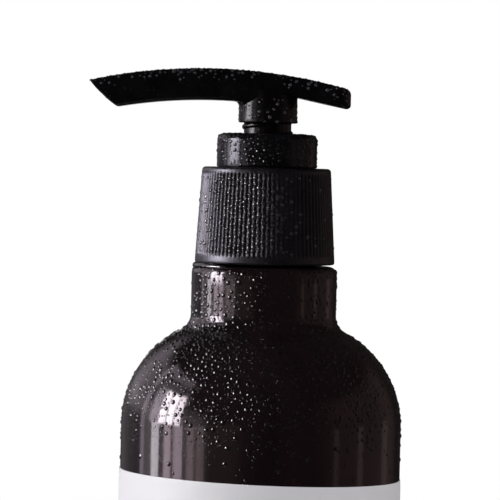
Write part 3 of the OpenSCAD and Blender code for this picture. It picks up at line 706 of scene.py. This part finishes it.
def rod(points, radius, segs):
    """A closed round bar along a path in the XZ plane."""
    verts = []
    pts = [Vector(p) for p in points]
    side = Vector((0, 1, 0))
    for i, p in enumerate(pts):
        d = (pts[min(i + 1, len(pts) - 1)] - pts[max(i - 1, 0)]).normalized()
        up = d.cross(side)
        for k in range(segs):
            a = 2 * math.pi * k / segs
            verts.append(tuple(p + side * (radius * math.cos(a)) + up * (radius * math.sin(a))))
    return verts, tube_faces(len(pts), segs)


def build_head(mat):
    """Blade, skirt and lock thread in one, with the stem's socket and the oil passage cut out."""
    head = make("pump_head", blade_shape(), mat)
    ridge = thread(ROOT_R, CREST_R, 1.5, 0.7, LOCK_PITCH, HEAD_Z + 0.5, LOCK_TURNS)
    for name, shape in (("skirt", skirt_shape()), ("fillet", fillet_shape()), ("lock_thread", ridge)):
        boolean(head, make(name, shape, mat), "UNION")
    mid_r = BLADE_R - BLADE_T / 2
    passage_z = on_arc(mid_r, 0)
    socket_top = passage_z - PASSAGE_R - 1.0
    socket = rod([(0, 0, HEAD_Z - 1), (0, 0, socket_top)], STEM_R + TURN_GAP, 48)
    riser = rod([(0, 0, socket_top - 0.2), (0, 0, passage_z)], RISER_R, 32)
    passage = rod([(x, 0, on_arc(mid_r, x)) for x in np.linspace(2.4, -REACH - 4, 60)], PASSAGE_R, 36)
    for name, shape in (("socket", socket), ("riser", riser), ("passage", passage)):
        boolean(head, make(name, shape, mat), "DIFFERENCE")
    finish_mesh(head, mat, 32)
    return head


# -------- water droplets
TURN = 6.283  # a full turn in radians
SMALL_ONES = 2.0  # power that makes small drops commoner than large ones
DROP_CELL, DROP_GAP = 1.2, 0.06  # mm: the cells that drops are sorted into, and the least gap between two
CONTACT, BOTTLE_CONTACT = 49.0, 44.0  # contact angles in degrees


def scatter(obj, count, size, chance, seed):
    """Random points on an object's surface, with normals and radii; chance(position, normal) weights them."""
    rng = np.random.default_rng(seed)
    mesh = obj.data
    mesh.calc_loop_triangles()
    co = np.empty(len(mesh.vertices) * 3)
    mesh.vertices.foreach_get("co", co)
    co = co.reshape(-1, 3) / MM
    tri = np.empty(len(mesh.loop_triangles) * 3, np.int64)
    mesh.loop_triangles.foreach_get("vertices", tri)
    a, b, c = (co[tri.reshape(-1, 3)[:, k]] for k in range(3))
    cross = np.cross(b - a, c - a)
    area = np.linalg.norm(cross, axis=1)
    nrm = cross / np.maximum(area, 1e-12)[:, None]
    centre = (a + b + c) / 3
    weight = area * np.clip(chance(centre, nrm), 0, None)
    pick = rng.choice(len(weight), count, p=weight / weight.sum())
    u, v = rng.random(count), rng.random(count)
    flip = u + v > 1
    u[flip], v[flip] = 1 - u[flip], 1 - v[flip]
    pos = a[pick] + (b[pick] - a[pick]) * u[:, None] + (c[pick] - a[pick]) * v[:, None]
    rad = size[0] + (size[1] - size[0]) * rng.random(count) ** SMALL_ONES
    return apart(pos, nrm[pick], rad)


def apart(pos, nrm, rad):
    """Drops that don't run into each other: where two would, the larger one stays."""
    kept, grid = [], {}
    for i in np.argsort(-rad):
        cell = tuple((pos[i] // DROP_CELL).astype(int))
        near = [j for dx in (-1, 0, 1) for dy in (-1, 0, 1) for dz in (-1, 0, 1)
                for j in grid.get((cell[0] + dx, cell[1] + dy, cell[2] + dz), ())]
        if all(np.sum((pos[i] - pos[j]) ** 2) > (rad[i] + rad[j] + DROP_GAP) ** 2 for j in near):
            kept.append(i)
            grid.setdefault(cell, []).append(i)
    kept = np.array(kept)
    return pos[kept], nrm[kept], rad[kept]


def beads(rows, chance, seed):
    """Drops caught on the closure's ribs, in columns, most of them towards the front left."""
    rng = np.random.default_rng(seed)
    front_at, front_width, elsewhere = 110, 34, 0.07
    sunk, stray, lift, small, spread = 0.06, 0.10, 0.06, 0.36, 0.20
    low, height = CLOSURE_Z + 2.6, CLOSURE_TOP - CLOSURE_Z - 4.6
    pos, nrm, rad = [], [], []
    for k in range(RIBS):
        a = 2 * math.pi * k / RIBS
        off = (math.degrees(a) + front_at + 180) % 360 - 180
        front = math.exp(-(off / front_width) ** 2)
        for j in range(rows):
            if rng.random() > chance * (elsewhere + (1 - elsewhere) * front):
                continue
            z = low + height * (j + rng.random() * 0.8) / rows
            r = closure_r(z) - sunk
            b = a + rng.normal() * stray / r
            pos.append((r * math.cos(b), r * math.sin(b), z))
            nrm.append((math.cos(b), math.sin(b), lift))
            rad.append(small + spread * rng.random() ** 1.5)
    return apart(np.array(pos), np.array(nrm), np.array(rad))


def droplets(name, spots, mat, body, seed, contact=CONTACT):
    """Round caps of water standing on a surface at the contact angle, each a closed mesh."""
    rng = np.random.default_rng(seed)
    segs, sunk = 8, 0.05
    verts, faces = [], []
    for p, n, r in zip(*spots):
        n = Vector(n).normalized()
        side = n.orthogonal().normalized()
        side = Matrix.Rotation(rng.random() * TURN, 3, n) @ side
        other = n.cross(side)
        first = len(verts)
        edge = math.radians(contact * (0.88 + 0.2 * rng.random()))
        curve = r / math.sin(edge)
        long = 1.0 + 0.18 * rng.random()
        base = Vector(p) - n * (curve * math.cos(edge))
        rings = [(r * 0.97, curve * math.cos(edge) - sunk)]
        rings += [(curve * math.sin(edge * t), curve * math.cos(edge * t)) for t in (1.0, 0.68, 0.34)]
        for rr, h in rings:
            for k in range(segs):
                a = 2 * math.pi * k / segs
                level = base + side * (rr * long * math.cos(a)) + other * (rr * math.sin(a))
                verts.append(tuple(level + n * h))
        verts.append(tuple(base + n * curve))
        faces.append(tuple(first + k for k in reversed(range(segs))))
        for j in range(len(rings) - 1):
            row = first + j * segs
            for k in range(segs):
                m = (k + 1) % segs
                faces.append((row + k, row + m, row + segs + m, row + segs + k))
        row = first + (len(rings) - 1) * segs
        for k in range(segs):
            faces.append((row + k, row + (k + 1) % segs, row + segs))
    obj = new_object(name, (verts, faces))
    finish_mesh(obj, mat, 60)
    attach(obj, body)


def build_groove_strip(mat):
    """A dark rounded strip, in the drops' dark material, that fills the groove between the closure and the
    neck on the left. It stays on the bottle.
    """
    cols, segs, start, sweep = 40, 14, 142.0, 96.0  # degrees from +X
    inset, sunk, thin, swell = 1.05, 0.25, 0.12, 0.83
    verts = []
    for i in range(cols + 1):
        f = i / cols
        a = math.radians(start + sweep * f)
        r = thin + swell * math.sin(math.pi * f) ** 0.6
        for k in range(segs):
            b = 2 * math.pi * k / segs
            rr = NECK_R - inset + r * math.cos(b)
            verts.append((rr * math.cos(a), rr * math.sin(a), NECK_TOP - sunk + r * math.sin(b)))
    obj = make("groove_strip", (verts, tube_faces(cols + 1, segs)), mat, 60)
    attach(obj, "bottle")


def outward(pos, nrm):
    """How far a normal points away from the axis, -1 to 1."""
    r = np.hypot(pos[:, 0], pos[:, 1])
    return (pos[:, 0] * nrm[:, 0] + pos[:, 1] * nrm[:, 1]) / np.maximum(r, 1e-6)


def off_flank(pos, left=0.85, right=0.65):
    """Fewer drops on the two flanks, where the water has run off. Azimuth from -Y, positive towards -X."""
    azimuth = np.degrees(np.arctan2(-pos[:, 0], -pos[:, 1]))
    return 1 - left * np.exp(-((azimuth - 88) / 30) ** 4) - right * np.exp(-((azimuth + 88) / 34) ** 4)


def clumps(pos, size, seed):
    """A smooth random field, 0.04 to 1.4, that gathers the drops in patches."""
    rng = np.random.default_rng(seed)
    waves = 14
    total = np.zeros(len(pos))
    for _ in range(waves):
        k = rng.normal(size=3) / size
        total += np.cos(pos @ k + rng.random() * TURN)
    return np.clip(0.5 + 2 * total / waves, 0.04, 1.4)


def wet_bottle(pos, nrm):
    """Drops stand on the neck and the shoulder, thin out down the body and keep off the label."""
    z = pos[:, 2]
    outside = (outward(pos, nrm) > 0.1) * (z < NECK_TOP - 0.5)
    bare = (z > LABEL_HIGH + 1.5) | (z < LABEL_LOW - 1.4)
    dry_to, rise_h, fewest = 114, 20, 0.012
    rise = np.clip((z - dry_to) / rise_h, fewest, 1) ** 1.4
    flanks = np.where(z > FILLET_CZ - 2, off_flank(pos), off_flank(pos, 0.55, 0.75))
    return outside * bare * rise * (0.35 + clumps(pos, 4.0, 3)) * flanks


def wet_chaplet(pos, nrm):
    """Drops stand on the collar's wall and round its top."""
    top = (nrm[:, 2] > 0.7) & (np.hypot(pos[:, 0], pos[:, 1]) > 8)
    shown = ((outward(pos, nrm) > 0.5) | top) * (pos[:, 2] > CHAPLET_Z + 0.5)
    return shown * (0.35 + clumps(pos, 3.0, 5)) * off_flank(pos)


def wet_head(pos, nrm):
    """Drops stand on the blade's top, on the upper part of its sides and on the skirt."""
    z = pos[:, 2]
    skirt_top, side_foot = 203.6, 203
    crown = BLADE_CZ + np.sqrt(BLADE_R ** 2 - (pos[:, 0] + APEX) ** 2)
    near_top = np.clip((z - crown + 3.2) / 2.0, 0, 1)
    top = 1.0 * (nrm[:, 2] > 0.2)
    skirt = 1.1 * ((z < skirt_top) & (outward(pos, nrm) > 0.8))
    sides = 0.55 * (np.abs(nrm[:, 1]) > 0.8) * (z > side_foot) * near_top
    return (top + skirt + sides) * (z > SKIRT_Z + 0.4) * (0.3 + clumps(pos, 3.0, 6))


# -------- build
add_camera()
plum = bottle_material()
film = label_material()
pump_black = pump_material()
head_black = head_material()
natural = plain_material("natural_plastic", (0.66, 0.65, 0.61), (0.74, 0.73, 0.69), 0.38, subsurface=0.25)
softer = plain_material("piston_plastic", (0.60, 0.62, 0.63), (0.68, 0.70, 0.71), 0.34, subsurface=0.25)
tube = plain_material("tube_plastic", (0.70, 0.70, 0.68), (0.78, 0.78, 0.75), 0.26, subsurface=0.3)
foam = plain_material("gasket_foam", (0.70, 0.69, 0.66), (0.80, 0.79, 0.76), 0.75, grain=(7.0, 0.03))
wire = plain_material("spring_steel", (0.48, 0.48, 0.49), (0.60, 0.60, 0.61), 0.24, metal=1.0,
                      stretch=(1, 1, 3))
ball = plain_material("ball_steel", (0.60, 0.60, 0.61), (0.66, 0.66, 0.67), 0.09, metal=1.0)
# Painted dark: the drops' dark body stands in for the dark plastic seen through clear water.
water = water_material("water_drops", (0.010, 0.008, 0.009), (0.022, 0.018, 0.020), 0.02, 0.06, 0.6)
# Painted light: the head's drops get a paler body, so they read as lit grey dots.
pale_water_painted_light = water_material("water_pale_painted_light", (0.045, 0.042, 0.048), (0.085, 0.080, 0.090), 0.03, 0.08, 0.3)
# Painted light: the beads on the ribs get a milky body, so they read as lit grey blobs.
bead_water_painted_light = water_material("water_beads_painted_light", (0.026, 0.023, 0.028), (0.046, 0.041, 0.048), 0.13, 0.20, 0.40)

for node, mat in (("gasket", foam), ("housing", natural), ("return_spring", wire), ("inlet_ball", ball),
                  ("dip_tube", tube), ("stem", natural), ("valve_rod", natural), ("piston", softer)):
    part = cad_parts[node]
    if not part.data.materials:
        part.data.materials.append(mat)
    for s in part.material_slots:
        s.material = mat

bottle = build_bottle(plum)
place(bottle, "bottle", "bottle_plastic", "bottle")
place(make("label_film", label_shape(), film, 50), "bottle", "label_paper", "label")
closure = make("closure_cap", closure_shape(), pump_black, 50)
place(closure, "closure", "pump_plastic", "closure")
chaplet = make("chaplet_collar", chaplet_shape(), pump_black, 40)
place(chaplet, "pump", "pump_plastic", "chaplet")
head = build_head(head_black)
place(head, "head", "head_plastic", "head")

bottle_spots = scatter(bottle, 6100, (0.21, 0.62), wet_bottle, 11)
droplets("drops_bottle", bottle_spots, water, "bottle", 12, BOTTLE_CONTACT)
droplets("drops_closure", beads(15, 0.97, 13), bead_water_painted_light, "closure", 14)
build_groove_strip(water)
chaplet_spots = scatter(chaplet, 1000, (0.20, 0.50), wet_chaplet, 15)
droplets("drops_chaplet", chaplet_spots, water, "pump", 16)
head_spots = scatter(head, 1150, (0.18, 0.46), wet_head, 17)
droplets("drops_head", head_spots, pale_water_painted_light, "head", 18)


# -------- studio
LIT_HEIGHT = 0.15  # m: the lamps point at the axis here


def stage_object(name, shape, mat, mirrored_only=False):
    """A piece of the set; mirrored_only leaves it to the glossy rays."""
    obj = make(name, shape, mat, 50)
    if mirrored_only:
        obj.visible_camera = obj.visible_diffuse = obj.visible_transmission = obj.visible_shadow = False


def any_ray(tree, *names):
    """1 for rays of the kinds that Light Path names so, 0 for others."""
    path = tree.nodes.new("ShaderNodeLightPath")
    value = path.outputs[names[0]]
    for n in names[1:]:
        node = tree.nodes.new("ShaderNodeMath")
        node.operation = "MAXIMUM"
        tree.links.new(value, node.inputs[0])
        tree.links.new(path.outputs[n], node.inputs[1])
        value = node.outputs[0]
    return value


def build_world(ambient):
    """Soft light for the colours; white for the rays that look, mirror or pass through."""
    world = bpy.data.worlds.new("studio")
    SCENE.world = world
    world.use_nodes = True
    t = world.node_tree
    t.nodes.clear()
    out = t.nodes.new("ShaderNodeOutputWorld")
    mix = t.nodes.new("ShaderNodeMixShader")
    t.links.new(any_ray(t, "Is Camera Ray", "Is Glossy Ray", "Is Transmission Ray"), mix.inputs[0])
    for socket, colour in ((1, ambient), (2, (1, 1, 1))):
        light = t.nodes.new("ShaderNodeBackground")
        light.inputs["Color"].default_value = (*colour, 1)
        t.links.new(light.outputs[0], mix.inputs[socket])
    t.links.new(mix.outputs[0], out.inputs[0])


def area_light(name, azimuth, distance, height, width, tall, radiance, colour):
    """A soft box facing the axis, in metres. azimuth: degrees from -Y, towards -X; radiance: of its face."""
    a = math.radians(azimuth)
    loc = Vector((-math.sin(a) * distance, -math.cos(a) * distance, height))
    data = bpy.data.lights.new(name, "AREA")
    data.shape = "RECTANGLE"
    data.size = width
    data.size_y = tall
    data.energy = radiance * width * tall * math.pi
    data.color = colour
    obj = aimed(name, data, loc, Vector((0, 0, LIT_HEIGHT)))
    obj.visible_camera = obj.visible_glossy = False


def room_material(panes):
    """What the object mirrors: a dark room with a window, given as soft-edged panes.

    Each pane: its azimuth from -Y towards -X, half width and soft edge; its elevation, half height and
    soft edge, all in degrees; its radiance; its colour.
    """
    n = Nodes("room")
    x, y, z = n.axes()
    degrees, eye_level = 180 / math.pi, 140.0
    turn = n.math("ARCTAN2", n.math("MULTIPLY", x, -1.0), n.math("MULTIPLY", y, -1.0))
    azimuth = n.math("MULTIPLY", turn, degrees)
    flat = n.math("SQRT", n.math("ADD", n.math("MULTIPLY", x, x), n.math("MULTIPLY", y, y)))
    rise = n.math("ARCTAN2", n.math("SUBTRACT", z, eye_level), flat)
    elevation = n.math("MULTIPLY", rise, degrees)
    total = None
    for az, half_az, edge_az, el, half_el, edge_el, radiance, colour in panes:
        weight = radiance
        for value, centre, half, edge in ((azimuth, az, half_az, edge_az), (elevation, el, half_el, edge_el)):
            off = n.math("ABSOLUTE", n.math("SUBTRACT", value, centre))
            weight = n.math("MULTIPLY", n.span(off, half, half + edge, 1.0, 0.0, soft=True), weight)
        tinted = n.new("ShaderNodeVectorMath", operation="SCALE")
        tinted.inputs[0].default_value = colour
        n.link(weight, tinted.inputs["Scale"])
        if total is None:
            total = tinted.outputs[0]
        else:
            both = n.new("ShaderNodeVectorMath", operation="ADD")
            n.link(total, both.inputs[0])
            n.link(tinted.outputs[0], both.inputs[1])
            total = both.outputs[0]
    return n.end_glowing(total)


def build_room(panes):
    """A drum round the set, seen only in reflections."""
    cols, r, low, high = 72, 2200.0, -2500.0, 4200.0
    ring = [(r * math.cos(a), r * math.sin(a)) for a in 2 * np.pi * np.arange(cols) / cols]
    verts = [(x, y, z) for z in (low, high) for x, y in ring]
    faces = [(i, (i + 1) % cols, cols + (i + 1) % cols, cols + i) for i in range(cols)]
    faces += [tuple(range(cols, 2 * cols))]
    stage_object("dark_room", (verts, faces), room_material(panes), mirrored_only=True)


def build_flag():
    """A black card beside the spout, seen by reflections only: it keeps the panes off the head's top."""
    x, front, back, low, high = -60, -40, 26, 209, 246
    black = Nodes("flag").end_glowing((0.018, 0.016, 0.018, 1.0))
    corners = [(x, front, low), (x, back, low), (x, back, high), (x, front, high)]
    stage_object("flag", (corners, [(0, 1, 2, 3)]), black, mirrored_only=True)


def build_floor():
    """Pale paper that keeps the object's shadow and fades to the white backdrop further out."""
    radius, sides = 900.0, 64
    n = Nodes("floor_paper")
    paper = n.ramp(n.noise(0.02, 2.0), [(0.3, (0.84, 0.84, 0.84)), (0.7, (0.87, 0.87, 0.87))])
    n.end(Base_Color=paper, Roughness=0.85)
    length = n.new("ShaderNodeVectorMath", operation="LENGTH")
    n.link(n.where(), length.inputs[0])
    shader = n.bsdf.outputs[0]
    for near, far, light, rays in ((90.0, 330.0, 1.0, ("Is Camera Ray", "Is Transmission Ray")),
                                   (50.0, 130.0, 0.02, ("Is Glossy Ray",))):
        fade = n.span(length.outputs["Value"], near, far, soft=True)
        glow = n.new("ShaderNodeEmission")
        n.put(glow, Strength=light)
        mix = n.new("ShaderNodeMixShader")
        n.link(n.math("MULTIPLY", fade, any_ray(n.tree, *rays)), mix.inputs[0])
        n.link(shader, mix.inputs[1])
        n.link(glow.outputs[0], mix.inputs[2])
        shader = mix.outputs[0]
    turns = np.linspace(0, 2 * np.pi, sides + 1)[:-1]
    disc = [(radius * math.cos(a), radius * math.sin(a), 0.0) for a in turns]
    stage_object("floor", (disc, [tuple(range(sides))]), n.end_with(shader))


SCENE.view_settings.view_transform = "Standard"
build_world((0.45, 0.445, 0.46))
ALL = (0, 181, 1)  # every azimuth
UP = (13, 11, 3)  # elevation of the window's panes
SILL = (-20, 20, 2)  # elevation of the strips under them
build_room((
    (*ALL, 0, 91, 1, 0.018, (1.0, 0.88, 0.84)),           # the dark room itself
    (180, 5, 9, 0, 5, 8, 0.75, (1, 1, 1)),                # the white backdrop behind the object
    (112, 26, 26, 20, 11, 9, 0.80, (1.0, 0.90, 1.0)),     # light wall round the window
    (80, 24, 16, -8, 14, 14, 0.75, (1.0, 0.90, 0.96)),
    (130, 26, 12, -10, 16, 10, 0.16, (0.97, 0.92, 1.0)),
    (72.5, 2.8, 1.2, *UP, 20.0, (1.0, 0.97, 1.0)),        # panes
    (80.5, 3.1, 1.2, *UP, 24.0, (1.0, 0.98, 1.0)),
    (89, 3.1, 1.2, *UP, 22.0, (1.0, 0.97, 1.0)),
    (98.5, 4.0, 2.0, *UP, 3.4, (0.98, 0.90, 1.0)),
    (113.5, 1.8, 1.6, 8, 27, 4, 1.3, (1.0, 0.88, 1.0)),   # the window's frame and reveal
    (93, 21, 2, 38, 1.6, 3, 1.3, (0.95, 0.86, 1.0)),
    (96, 3.6, 1.8, *SILL, 6.8, (0.97, 0.97, 1.0)),        # dimmer strips under the panes
    (82, 3.0, 1.6, *SILL, 4.6, (1.0, 0.86, 0.93)),
    (71, 3.4, 1.8, *SILL, 4.2, (1.0, 0.86, 0.93)),
    (59, 2.2, 1.6, *SILL, 1.7, (1.0, 0.84, 0.84)),
    (50, 2.4, 1.8, *SILL, 1.1, (1.0, 0.84, 0.80)),
    (42, 14, 20, -10, 12, 8, 0.16, (1.0, 0.82, 0.70)),
    (-96, 30, 24, -6, 26, 12, 0.12, (1.0, 0.70, 0.62)),   # warm wall and slits on the far side
    (-64, 1.6, 1.4, *SILL, 0.22, (1.0, 0.74, 0.66)),
    (-89, 2.2, 1.8, *SILL, 0.28, (1.0, 0.74, 0.70)),
    (-122, 3.0, 3.0, *SILL, 0.14, (1.0, 0.86, 0.76))))
build_flag()
build_floor()
area_light("window", 85, 1.3, 0.52, 0.62, 0.70, 5.5, (1.0, 0.98, 1.0))
area_light("fill", -40, 1.6, 0.9, 0.90, 0.90, 0.16, (1.0, 0.97, 0.94))
area_light("back", -165, 1.5, 0.7, 0.90, 0.80, 3.0, (1.0, 0.99, 0.98))
area_light("top", 60, 0.12, 1.7, 1.10, 1.10, 0.6, (1.0, 1.0, 1.0))
